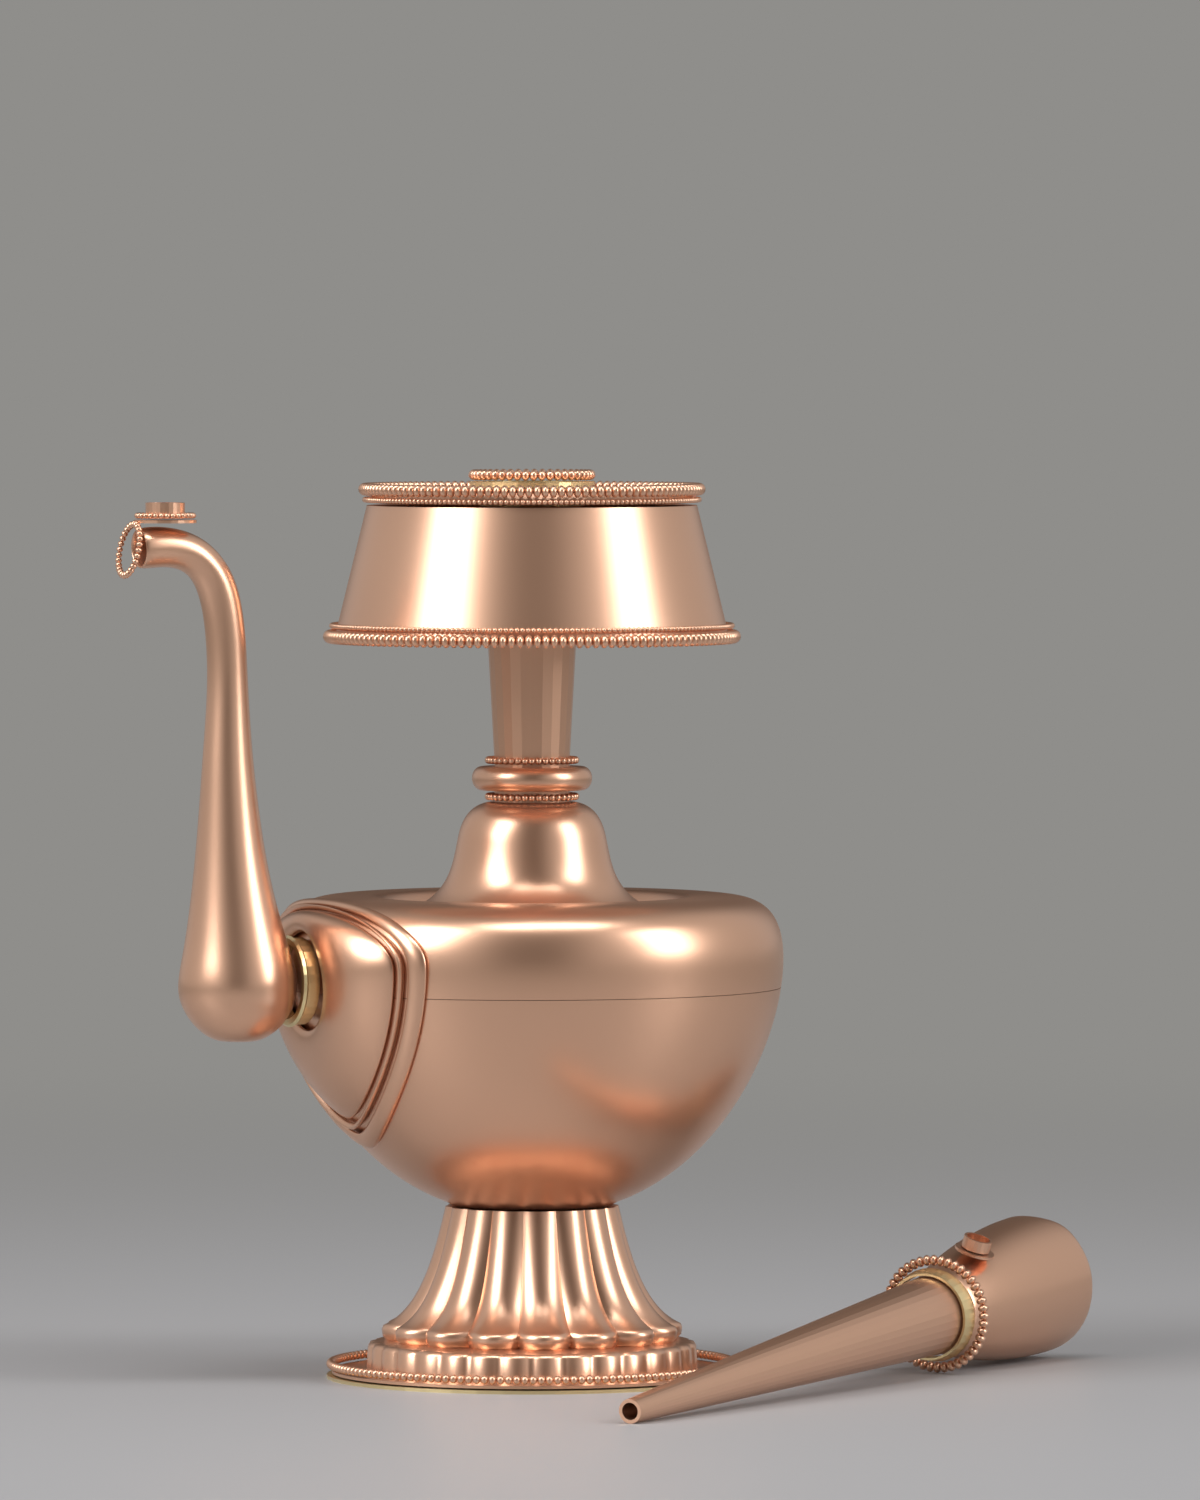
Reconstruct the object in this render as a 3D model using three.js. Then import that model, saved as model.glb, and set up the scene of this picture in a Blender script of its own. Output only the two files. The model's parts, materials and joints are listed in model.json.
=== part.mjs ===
// A raised copper ritual ewer with a tall spout and its loose feather holder, lying beside it.
// Millimetres, +Z up. The origin is the centre of the foot, on the surface it stands on.
import * as THREE from 'three';

// Sheet and clearance
const SHEET = 1.0;
const GAP = 0.3;

// Foot
const FOOT_PLATE_R = 42.4;
const FOOT_PLATE_T = 0.7;
const FLANGE_R = 41.3;
const FLANGE_T = 0.6;
const FOOT_BEAD_RING_R = 41.7;
const FOOT_BEAD_R = 0.93;
const FOOT_TOP_Z = 35.4;
const FOOT_TOP_R = 17.9;
const PETALS = 16;
const PETAL_PHASE = THREE.MathUtils.degToRad(5.5);
const RIB_END_R = 30.8;
const RIB_END_Z = 10.9;
const RIB_DROP = 2.4;
const GROOVE_TOP = 0.7;
const GROOVE_END = 3.4;
const TIER_R = 33.9;
const TIER_TOP_Z = 7.2;
const TIER_GROOVE = 0.9;
const FOOT_BORE_TOP_R = 15.9;

// Belly and shoulder
const BELLY_R = 51.8;
const BELLY_Z = 86.4;
const SEAM_SHARE = 0.88;
const SHOULDER_TOP_Z = 99.4;
const CREST_R = 40;
const RECESS_R = 30.2;
const RECESS_Z = 95.2;
const RECESS_HOLE_R = 20;

// Neck
const BELL_FOOT_R = 26.8;
const BELL_TOP_Z = 118.8;
const BELL_WAIST_R = 15.2;
const BELL_WAIST_Z = 111.7;
const NECK_R = 7.8;
const NECK_TOP_R = 9.1;
const NECK_RING_R = 10.5;
const NECK_RING_HALF_W = 2.2;
const NECK_RING_HALF_H = 2.7;
const NECK_BEAD_R = 0.75;

// Dish
const DISH_FLOOR_Z = 152.4;
const DISH_BASE_R = 40.4;
const DISH_TOP_R = 34.0;
const DISH_TOP_Z = 180.0;
const DISH_BEAD_R = 1.39;
const DISH_TOP_BEAD_R = 1.29;
const FINE_BEAD_R = 0.56;
const MOUTH_R = 9.7;
const MOUTH_BEAD_R = 1.08;
const MOUTH_FLANGE_R = 12.9;

// Spout
const SPOUT_TURN = THREE.MathUtils.degToRad(26);
const BULB_R = 13;
const BULB_REACH = 66.5;
const BULB_Z = 83;
const STEM_R = 4.2;
const SPOUT_END_REACH = 89.5;
const SPOUT_END_Z = 171.6;
const LIP_R = 4.3;
const LIP_BEAD_R = 0.65;
const LIP_LEAN = 0.32;
const BEZEL_REACH = 82.6;
const BEZEL_CUP_R = 4.0;
const BEZEL_CUP_H = 3.2;
const BEZEL_PLATE_R = 6.4;
const BEZEL_WALL = 0.5;
const COLLAR_R = 8.9;
const COLLAR_WALL = 1.2;

// Shield under the spout
const SHIELD_HALF_W = 36.9;
const SHIELD_UP = 18;
const SHIELD_DOWN = 38.5;
const SHIELD_WIDEST = 4;
const SHIELD_RIM = 1.2;
const SHIELD_SWELL = 1.6;
const SHIELD_FIELD = 0.8;
const ROPE_SHARE = 0.84;
const BAND_SHARE = 0.885;
const BAND_T = 1.6;

// Feather holder, lying on the table
const HOLDER_TURN = THREE.MathUtils.degToRad(61.6);
const HOLDER_TIP_X = 19.9;
const HOLDER_TIP_Y = -109.5;
const SPIKE_L = 134;
const SPIKE_TIP_R = 2.45;
const SPIKE_END_R = 8.3;
const HOLDER_SHEET = 0.7;
const HOLDER_RING_R = 11.2;
const HOLDER_BEAD_R = 1.15;
const HOLDER_COLLAR_L = 3;
const SHELL_L = 46;
const SHELL_HALF_H = 15.0;
const SHELL_HALF_W = 13.5;
const SHELL_NOTCH = 5;
const HOLDER_BEZEL_R = 3.0;

const COPPER = { color: 0xc4764f, roughness: 0.28, metalness: 1 };
const BRASS = { color: 0xc9a25a, roughness: 0.3, metalness: 1 };

const model = new THREE.Group();
model.name = 'bumpa_vase';

function add(name, geometry, look, parent = model) {
  const mesh = new THREE.Mesh(geometry, new THREE.MeshStandardMaterial(look));
  mesh.name = name;
  parent.add(mesh);
  return mesh;
}

function vec(r, z) {
  return new THREE.Vector2(r, z);
}

// Turns a closed outline of radius and height about Z. The outline runs anticlockwise.
function lathe(points, segments = 36) {
  const closed = [...points, points[0].clone()];
  const geometry = new THREE.LatheGeometry(closed, segments);
  geometry.rotateX(Math.PI / 2);
  return facingOut(geometry);
}

// Turns an outline that starts and ends on the axis.
function latheSolid(points, segments = 36) {
  const geometry = new THREE.LatheGeometry(points, segments);
  geometry.rotateX(Math.PI / 2);
  return facingOut(geometry);
}

function volumeOf(geometry) {
  const place = geometry.attributes.position;
  const index = geometry.index;
  const count = index ? index.count : place.count;
  const corner = [new THREE.Vector3(), new THREE.Vector3(), new THREE.Vector3()];
  let total = 0;
  for (let i = 0; i < count; i += 3) {
    for (let k = 0; k < 3; k++) {
      corner[k].fromBufferAttribute(place, index ? index.getX(i + k) : i + k);
    }
    total += corner[0].dot(corner[1].cross(corner[2])) / 6;
  }
  return total;
}

function facingOut(geometry) {
  if (volumeOf(geometry) < 0) {
    const index = Array.from(geometry.index.array);
    for (let i = 0; i < index.length; i += 3) {
      [index[i], index[i + 1]] = [index[i + 1], index[i]];
    }
    geometry.setIndex(index);
  }
  return geometry;
}

// Joins rings of points, all alike in number, into a skin. A closed stack joins its last ring to its first.
function skin(rings, { stackCloses = false, capFirst = false, capLast = false } = {}) {
  const around = rings[0].length;
  const positions = rings.flat().flatMap((p) => [p.x, p.y, p.z]);
  const index = [];
  const steps = stackCloses ? rings.length : rings.length - 1;
  for (let i = 0; i < steps; i++) {
    const next = (i + 1) % rings.length;
    for (let j = 0; j < around; j++) {
      const k = (j + 1) % around;
      const [a, b] = [i * around + j, i * around + k];
      const [c, d] = [next * around + j, next * around + k];
      index.push(a, b, d, a, d, c);
    }
  }
  const cap = (ring, flip) => {
    const middle = new THREE.Vector3();
    rings[ring].forEach((p) => middle.add(p));
    middle.divideScalar(around);
    const centre = positions.length / 3;
    positions.push(middle.x, middle.y, middle.z);
    for (let j = 0; j < around; j++) {
      const [a, b] = [ring * around + j, ring * around + ((j + 1) % around)];
      index.push(...(flip ? [a, b, centre] : [b, a, centre]));
    }
  };
  if (capFirst) cap(0, false);
  if (capLast) cap(rings.length - 1, true);
  const geometry = new THREE.BufferGeometry();
  geometry.setAttribute('position', new THREE.Float32BufferAttribute(positions, 3));
  geometry.setIndex(index);
  return facingOut(geometry);
}

function curve(a, b, c, d) {
  return new THREE.CubicBezierCurve(a, b, c, d);
}

function part(bezier, from, to, steps) {
  const points = [];
  for (let i = 0; i <= steps; i++) points.push(bezier.getPoint(from + ((to - from) * i) / steps));
  return points;
}

// The same line moved sideways by the sheet's thickness, to the left of its way.
function beside(points, distance) {
  return points.map((p, i) => {
    const before = points[Math.max(i - 1, 0)];
    const after = points[Math.min(i + 1, points.length - 1)];
    const way = after.clone().sub(before).normalize();
    return vec(p.x - way.y * distance, p.y + way.x * distance);
  });
}

function sheetOf(points, thickness = SHEET) {
  return [...points, ...beside(points, thickness).reverse()];
}

// A wire ring round the axis, with an elliptic section.
function wire(ringR, z, halfW, halfH = halfW, segments = 24, sides = 5) {
  const section = [];
  for (let i = 0; i < sides; i++) {
    const turn = ((i + 0.5) / sides) * Math.PI * 2;
    section.push(vec(ringR + halfW * Math.cos(turn), z + halfH * Math.sin(turn)));
  }
  return lathe(section, segments);
}

const bellyCurve = curve(
  vec(17.6, FOOT_TOP_Z + 0.9),
  vec(BELLY_R - 10.9, FOOT_TOP_Z + 9.4),
  vec(BELLY_R, BELLY_Z - 15.1),
  vec(BELLY_R, BELLY_Z),
);
const shoulderCurve = curve(
  vec(BELLY_R, BELLY_Z),
  vec(BELLY_R, SHOULDER_TOP_Z - 4.4),
  vec(CREST_R + 8.5, SHOULDER_TOP_Z),
  vec(CREST_R, SHOULDER_TOP_Z),
);

function lotusRadius(row, turn) {
  const lobes = row.tier ? PETALS * 2 : PETALS;
  const wave = 0.5 + 0.5 * Math.cos(lobes * (turn - PETAL_PHASE + Math.PI / 2));
  return row.r - row.groove * (1 - Math.sqrt(wave));
}

function makeFoot() {
  add('foot_plate', latheSolid([
    vec(0, 0), vec(FOOT_PLATE_R, 0), vec(FOOT_PLATE_R, FOOT_PLATE_T), vec(0, FOOT_PLATE_T),
  ], 48), BRASS);
  const flangeZ = FOOT_PLATE_T + GAP;
  const flangeTop = flangeZ + FLANGE_T;
  add('foot_bead_wire', wire(FOOT_BEAD_RING_R, flangeTop + GAP + FOOT_BEAD_R, FOOT_BEAD_R, FOOT_BEAD_R, 32), COPPER);
  const ribs = curve(
    vec(RIB_END_R, RIB_END_Z), vec(RIB_END_R - 7.3, RIB_END_Z + 3.1),
    vec(FOOT_TOP_R + 2.6, RIB_END_Z + 13.1), vec(FOOT_TOP_R, FOOT_TOP_Z),
  );
  const rows = [
    { r: FLANGE_R, z: flangeZ, groove: 0 },
    { r: FLANGE_R, z: flangeTop, groove: 0 },
    { r: TIER_R + 0.4, z: flangeTop + 0.2, groove: TIER_GROOVE, tier: true },
    { r: TIER_R, z: TIER_TOP_Z, groove: TIER_GROOVE, tier: true },
    { r: RIB_END_R - 0.5, z: RIB_END_Z - RIB_DROP - 0.4, groove: GROOVE_END },
    { r: RIB_END_R, z: RIB_END_Z - RIB_DROP / 2, groove: GROOVE_END },
  ];
  const ribSteps = 5;
  for (let i = 0; i <= ribSteps; i++) {
    const share = i / ribSteps;
    const p = ribs.getPoint(share);
    const groove = THREE.MathUtils.lerp(GROOVE_END, GROOVE_TOP, Math.sqrt(share));
    rows.push({ r: p.x, z: p.y, groove });
  }
  rows.push({ r: FOOT_BORE_TOP_R, z: FOOT_TOP_Z, groove: 0 });
  rows.push({ r: FOOT_BORE_TOP_R + 1.6, z: RIB_END_Z + 11, groove: 0 });
  rows.push({ r: RIB_END_R - 10, z: RIB_END_Z + 1, groove: 0 });
  rows.push({ r: RIB_END_R - 6, z: TIER_TOP_Z + 0.4, groove: 0 });
  rows.push({ r: TIER_R - 2.4, z: TIER_TOP_Z - 1.6, groove: 0 });
  rows.push({ r: TIER_R - 2.1, z: flangeZ, groove: 0 });
  const around = PETALS * 4;
  const rings = rows.map((row) => {
    const ring = [];
    for (let j = 0; j < around; j++) {
      const turn = (j / around) * Math.PI * 2;
      const r = lotusRadius(row, turn);
      ring.push(new THREE.Vector3(r * Math.cos(turn), r * Math.sin(turn), row.z));
    }
    return ring;
  });
  add('lotus_foot', skin(rings, { stackCloses: true }), COPPER);
}

function makeBody() {
  const bowl = part(bellyCurve, 0, SEAM_SHARE, 9);
  const inside = beside(bowl, SHEET).reverse();
  const floorZ = FOOT_TOP_Z + GAP;
  add('bowl', latheSolid([
    vec(0, floorZ), vec(bowl[0].x - 1, floorZ), ...bowl, ...inside, vec(0, floorZ + 2 * SHEET),
  ], 32), COPPER);
  const seam = bellyCurve.getPoint(SEAM_SHARE);
  const rise = part(bellyCurve, SEAM_SHARE, 1, 2);
  rise[0] = vec(seam.x, seam.y + GAP);
  const roll = curve(
    vec(RECESS_R + 3, SHOULDER_TOP_Z), vec(RECESS_R + 1, SHOULDER_TOP_Z),
    vec(RECESS_R, RECESS_Z + 2.5), vec(RECESS_R - 1.5, RECESS_Z),
  );
  const outer = [
    ...rise, ...part(shoulderCurve, 0, 1, 6).slice(1), ...part(roll, 0, 1, 3), vec(RECESS_HOLE_R, RECESS_Z),
  ];
  add('shoulder', lathe(sheetOf(outer), 32), COPPER);
}

function makeNeck() {
  const bellTop = curve(
    vec(NECK_R + GAP + 0.5, BELL_TOP_Z), vec(NECK_R + 4.7, BELL_TOP_Z - 0.4),
    vec(BELL_WAIST_R - 0.8, BELL_WAIST_Z + 3.8), vec(BELL_WAIST_R, BELL_WAIST_Z),
  );
  const bellFlare = curve(
    vec(BELL_WAIST_R, BELL_WAIST_Z), vec(BELL_WAIST_R + 1.4, BELL_WAIST_Z - 6.9),
    vec(BELL_WAIST_R + 1.8, RECESS_Z + 4.3), vec(BELL_FOOT_R, RECESS_Z + GAP + 0.1),
  );
  const outer = [...part(bellTop, 0, 1, 4), ...part(bellFlare, 0, 1, 5).slice(1)].reverse();
  const inner = beside(outer, SHEET).reverse();
  inner[inner.length - 1] = vec(BELL_FOOT_R - 2.4, RECESS_Z + GAP + 0.1);
  add('neck_bell', lathe([...outer, ...inner], 28), COPPER);
  const lowBeadZ = BELL_TOP_Z + GAP + NECK_BEAD_R;
  const ringZ = lowBeadZ + NECK_BEAD_R + GAP + NECK_RING_HALF_H;
  const highBeadZ = ringZ + NECK_RING_HALF_H + GAP + NECK_BEAD_R;
  const beadRing = NECK_R + 2 * GAP + NECK_BEAD_R;
  add('lower_neck_beads', wire(beadRing, lowBeadZ, NECK_BEAD_R, NECK_BEAD_R, 24), COPPER);
  add('neck_ring', wire(NECK_RING_R, ringZ, NECK_RING_HALF_W, NECK_RING_HALF_H, 28, 8), COPPER);
  add('upper_neck_beads', wire(beadRing, highBeadZ, NECK_BEAD_R, NECK_BEAD_R, 24), COPPER);
  const topZ = DISH_FLOOR_Z - GAP;
  const tube = [
    vec(NECK_R, BELL_TOP_Z - 2 * SHEET), vec(NECK_R, highBeadZ + NECK_BEAD_R), vec(NECK_TOP_R, topZ),
  ];
  add('neck_tube', lathe(sheetOf(tube), 24), COPPER);
}

function makeDish() {
  const bore = NECK_TOP_R - SHEET;
  add('dish_floor', lathe([
    vec(bore, DISH_FLOOR_Z), vec(NECK_TOP_R + 3, DISH_FLOOR_Z), vec(DISH_BASE_R - 0.4, DISH_FLOOR_Z),
    vec(DISH_BASE_R - 0.4, DISH_FLOOR_Z + SHEET), vec(bore, DISH_FLOOR_Z + SHEET),
  ], 36), COPPER);
  const wallZ = DISH_FLOOR_Z + SHEET + GAP;
  const beadR = DISH_BASE_R + 1.5;
  const beadZ = DISH_FLOOR_Z + 0.4;
  add('dish_lower_beads', wire(beadR, beadZ, DISH_BEAD_R, DISH_BEAD_R, 36), COPPER);
  const fineZ = beadZ + DISH_BEAD_R + FINE_BEAD_R + GAP;
  add('dish_lower_fine_beads', wire(DISH_BASE_R + 0.9, fineZ, FINE_BEAD_R, FINE_BEAD_R, 32), COPPER);
  const wall = [vec(DISH_BASE_R, wallZ + 0.1), vec(DISH_TOP_R, DISH_TOP_Z)];
  add('dish_wall', lathe(sheetOf(wall), 36), COPPER);
  const topFineZ = DISH_TOP_Z + GAP + FINE_BEAD_R + 0.1;
  add('dish_upper_fine_beads', wire(DISH_TOP_R + 0.5, topFineZ, FINE_BEAD_R, FINE_BEAD_R, 32), COPPER);
  const topBeadZ = topFineZ + FINE_BEAD_R + GAP + DISH_TOP_BEAD_R;
  add('dish_upper_beads', wire(DISH_TOP_R + 0.7, topBeadZ, DISH_TOP_BEAD_R, DISH_TOP_BEAD_R, 32), COPPER);
  const plateZ = DISH_TOP_Z + GAP + 0.1;
  const hole = MOUTH_R + SHEET + GAP;
  const plate = [
    vec(DISH_TOP_R - 0.5, plateZ), vec(DISH_TOP_R - 0.6, plateZ + 0.8),
    vec(DISH_TOP_R - 2, plateZ + 2.4), vec(hole, plateZ + 3),
  ];
  add('dish_top', lathe(sheetOf(plate, 0.8), 36), COPPER);
  const collarZ = plateZ + 3 + GAP;
  add('mouth_collar', lathe([
    vec(MOUTH_R, collarZ - 4), vec(MOUTH_R + SHEET, collarZ - 4), vec(MOUTH_R + SHEET, collarZ),
    vec(MOUTH_FLANGE_R, collarZ), vec(MOUTH_FLANGE_R, collarZ + SHEET), vec(MOUTH_R, collarZ + SHEET),
  ], 28), BRASS);
  const mouthBeadZ = collarZ + SHEET + GAP + MOUTH_BEAD_R;
  add('mouth_beads', wire(MOUTH_FLANGE_R - 0.7, mouthBeadZ, MOUTH_BEAD_R, MOUTH_BEAD_R, 28), COPPER);
}

// The spout's group has +X along the way the spout points.
const spoutSide = new THREE.Group();
spoutSide.rotation.z = Math.PI + SPOUT_TURN;
model.add(spoutSide);

function circleRing(centre, across, up, radius, sides) {
  const ring = [];
  for (let j = 0; j < sides; j++) {
    const turn = (j / sides) * Math.PI * 2;
    const p = centre.clone();
    p.addScaledVector(across, radius * Math.cos(turn));
    p.addScaledVector(up, radius * Math.sin(turn));
    ring.push(p);
  }
  return ring;
}

function spoutPath() {
  const at = (x, z) => new THREE.Vector3(x, 0, z);
  return new THREE.CatmullRomCurve3([
    at(BULB_REACH, BULB_Z), at(BULB_REACH + 1.5, BULB_Z + 22), at(BULB_REACH + 2.2, BULB_Z + 43),
    at(BULB_REACH + 2.4, BULB_Z + 66), at(BULB_REACH + 3.6, SPOUT_END_Z - 11),
    at(BULB_REACH + 7, SPOUT_END_Z - 3), at(BULB_REACH + 13.5, SPOUT_END_Z + 0.4),
    at(SPOUT_END_REACH - 0.8, SPOUT_END_Z),
  ], false, 'centripetal');
}

function stemRadius(share) {
  const bulb = Math.pow(Math.max(0, 1 - share / 0.62), 1.5);
  const flare = Math.pow(Math.max(0, (share - 0.9) / 0.1), 2) * 0.25;
  return STEM_R + (BULB_R - STEM_R) * bulb * (1 - 0.2 * Math.sin(Math.PI * Math.min(1, share / 0.6))) + flare;
}

function makeSpout() {
  const path = spoutPath();
  const sides = 14;
  const side = new THREE.Vector3(0, 1, 0);
  const outer = [];
  const inner = [];
  const bulbSteps = 4;
  const down = new THREE.Vector3(0, 0, -1);
  const across = new THREE.Vector3(1, 0, 0);
  for (let i = 1; i < bulbSteps; i++) {
    const lean = (Math.PI / 2) * (1 - i / bulbSteps);
    const centre = path.getPointAt(0).addScaledVector(down, BULB_R * Math.sin(lean));
    outer.push(circleRing(centre, across, side, BULB_R * Math.cos(lean), sides));
  }
  const steps = 16;
  for (let i = 0; i <= steps; i++) {
    const share = i / steps;
    const centre = path.getPointAt(share);
    const way = path.getTangentAt(share);
    const out = new THREE.Vector3().crossVectors(side, way).normalize();
    const radius = stemRadius(share);
    outer.push(circleRing(centre, out, side, radius, sides));
    inner.push(circleRing(centre, out, side, radius - SHEET, sides));
  }
  const rings = [...outer, ...inner.reverse()];
  add('spout', skin(rings, { capFirst: true, capLast: true }), COPPER, spoutSide);
  const lip = [];
  const lipSteps = 28;
  const tube = 6;
  for (let i = 0; i < lipSteps; i++) {
    const turn = (i / lipSteps) * Math.PI * 2;
    const drop = Math.max(0, -Math.cos(turn));
    const reach = LIP_R + LIP_BEAD_R * 0.6 + 1.1 * Math.pow(drop, 6);
    const outward = new THREE.Vector3(0, Math.sin(turn), Math.cos(turn));
    const middle = outward.clone().multiplyScalar(reach);
    middle.x = SPOUT_END_REACH + LIP_BEAD_R + GAP + LIP_LEAN * (LIP_R - middle.z) * 0.35;
    middle.z += SPOUT_END_Z;
    lip.push(circleRing(middle, outward, across, LIP_BEAD_R, tube));
  }
  add('spout_lip_beads', skin(lip, { stackCloses: true }), COPPER, spoutSide);
}

function makeSpoutBezel() {
  const seatZ = SPOUT_END_Z + STEM_R + 0.4 + GAP + 0.3;
  const place = (geometry) => geometry.translate(BEZEL_REACH, 0, seatZ);
  const plateT = 0.6;
  add('spout_bezel_plate', place(latheSolid([
    vec(0, 0), vec(BEZEL_PLATE_R, 0), vec(BEZEL_PLATE_R, plateT), vec(0, plateT),
  ], 28)), COPPER, spoutSide);
  const cupZ = plateT + GAP;
  const bore = BEZEL_CUP_R - BEZEL_WALL;
  add('spout_bezel_cup', place(latheSolid([
    vec(0, cupZ), vec(BEZEL_CUP_R, cupZ), vec(BEZEL_CUP_R, cupZ + BEZEL_CUP_H),
    vec(bore, cupZ + BEZEL_CUP_H), vec(bore, cupZ + BEZEL_WALL), vec(0, cupZ + BEZEL_WALL),
  ], 28)), COPPER, spoutSide);
  const beadR = 0.6;
  add('spout_bezel_beads', place(wire(BEZEL_PLATE_R - beadR, cupZ + beadR, beadR, beadR, 28)), COPPER, spoutSide);
}

function makeSpoutRing() {
  const from = BELLY_R + 0.4;
  const to = BULB_REACH - Math.sqrt(BULB_R ** 2 - (COLLAR_R - COLLAR_WALL) ** 2) - GAP;
  const geometry = lathe([
    vec(COLLAR_R - COLLAR_WALL, from), vec(COLLAR_R, from), vec(COLLAR_R, to - 1),
    vec(COLLAR_R + 0.5, to - 0.5), vec(COLLAR_R, to), vec(COLLAR_R - COLLAR_WALL, to),
  ], 32);
  geometry.rotateY(Math.PI / 2);
  geometry.translate(0, 0, BULB_Z);
  add('spout_ring', geometry, BRASS, spoutSide);
}

// The body's outline as one line, to lay the shield on it.
const skinLine = [...part(bellyCurve, 0.15, 1, 60), ...part(shoulderCurve, 0, 1, 60).slice(1)];
const skinLength = [0];
skinLine.forEach((p, i) => {
  if (i > 0) skinLength.push(skinLength[i - 1] + p.distanceTo(skinLine[i - 1]));
});
const shieldMiddle = skinLength[skinLine.findIndex((p) => p.y > BULB_Z)];

// A point over the body: across is along the belly, up follows its outline, lift stands off it.
function overBody(across, up, lift) {
  const length = THREE.MathUtils.clamp(shieldMiddle + up, 0, skinLength[skinLength.length - 1]);
  let i = skinLength.findIndex((l) => l >= length);
  i = THREE.MathUtils.clamp(i, 1, skinLine.length - 1);
  const share = (length - skinLength[i - 1]) / (skinLength[i] - skinLength[i - 1]);
  const p = skinLine[i - 1].clone().lerp(skinLine[i], share);
  const way = skinLine[i].clone().sub(skinLine[i - 1]).normalize();
  const r = p.x + way.y * lift;
  const z = p.y - way.x * lift;
  const turn = across / BELLY_R;
  return new THREE.Vector3(r * Math.cos(turn), r * Math.sin(turn), z);
}

// The shield's outline: round above, drawn to a point below.
function leaf(share) {
  const turn = share * Math.PI * 2;
  const across = Math.sin(turn);
  const up = Math.cos(turn);
  if (up >= 0) return vec(SHIELD_HALF_W * across, SHIELD_WIDEST + (SHIELD_UP - SHIELD_WIDEST) * up);
  const fall = -up;
  const width = SHIELD_HALF_W * Math.sign(across) * Math.pow(Math.abs(across), 1.35);
  return vec(width, SHIELD_WIDEST - (SHIELD_DOWN + SHIELD_WIDEST) * fall);
}

const LEAF_STEPS = 28;

function leafLoop(scale, lift) {
  const loop = [];
  for (let i = 0; i < LEAF_STEPS; i++) {
    const p = leaf(i / LEAF_STEPS);
    loop.push(overBody(p.x * scale, p.y * scale, lift));
  }
  return loop;
}

function makeShield() {
  const hole = COLLAR_R + GAP + 0.6;
  const steps = 4;
  const loops = (lift) => {
    const out = [];
    for (let k = 0; k <= steps; k++) {
      const share = k / steps;
      const loop = [];
      for (let i = 0; i < LEAF_STEPS; i++) {
        const turn = (i / LEAF_STEPS) * Math.PI * 2;
        const edge = leaf(i / LEAF_STEPS).multiplyScalar(SHIELD_FIELD);
        const start = vec(hole * Math.sin(turn), hole * Math.cos(turn));
        const p = start.lerp(edge, share);
        loop.push(overBody(p.x, p.y, lift(share)));
      }
      out.push(loop);
    }
    return out;
  };
  const top = loops((share) => SHIELD_RIM + (1 - share) + SHIELD_SWELL * Math.sin(Math.PI * share));
  const under = loops(() => GAP + 0.1).reverse();
  add('spout_shield', skin([...top, ...under], { stackCloses: true }), COPPER, spoutSide);
  const ropeR = 0.55;
  const rope = [
    leafLoop(ROPE_SHARE - 0.018, SHIELD_RIM), leafLoop(ROPE_SHARE, SHIELD_RIM + 2 * ropeR),
    leafLoop(ROPE_SHARE + 0.018, SHIELD_RIM), leafLoop(ROPE_SHARE + 0.018, GAP + 0.1),
    leafLoop(ROPE_SHARE - 0.018, GAP + 0.1),
  ];
  add('spout_shield_rope', skin(rope, { stackCloses: true }), COPPER, spoutSide);
  const band = [
    leafLoop(BAND_SHARE, GAP + 0.1), leafLoop(BAND_SHARE, BAND_T), leafLoop((BAND_SHARE + 1) / 2, BAND_T + 0.3),
    leafLoop(1, BAND_T - 0.3), leafLoop(1, GAP + 0.1),
  ];
  add('spout_shield_band', skin(band, { stackCloses: true }), COPPER, spoutSide);
}

// The holder lies on its tip and on its beaded ring, so its lean follows from their radii.
function holderLean() {
  let lean = 0;
  for (let i = 0; i < 20; i++) {
    lean = Math.asin(((HOLDER_RING_R - SPIKE_TIP_R) * Math.cos(lean) + HOLDER_BEAD_R) / SPIKE_L);
  }
  return lean;
}

const holder = new THREE.Group();
const lean = holderLean();
const TABLE_CLEAR = 0.05;
holder.position.set(HOLDER_TIP_X, HOLDER_TIP_Y, SPIKE_TIP_R * Math.cos(lean) + TABLE_CLEAR);
holder.rotation.set(0, Math.PI / 2 - lean, HOLDER_TURN, 'ZYX');
model.add(holder);

// In the holder's group the tube runs along +Z, and -X is the side that lies uppermost.
function makeHolder() {
  const spikeEnd = SPIKE_L - GAP - HOLDER_BEAD_R;
  const spike = [vec(SPIKE_TIP_R, 0), vec(SPIKE_END_R, spikeEnd)];
  add('insert_spike', lathe(sheetOf(spike, HOLDER_SHEET), 32), COPPER, holder);
  const collarIn = SPIKE_END_R + GAP;
  const collarStart = spikeEnd - HOLDER_COLLAR_L;
  add('insert_collar', lathe([
    vec(collarIn, collarStart), vec(collarIn + 0.5, collarStart), vec(collarIn + 1.2, spikeEnd), vec(collarIn, spikeEnd),
  ], 32), BRASS, holder);
  add('insert_beads', wire(HOLDER_RING_R, SPIKE_L, HOLDER_BEAD_R, HOLDER_BEAD_R, 24, 6), COPPER, holder);
  makeHolderShell();
  makeHolderBezel();
}

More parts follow.
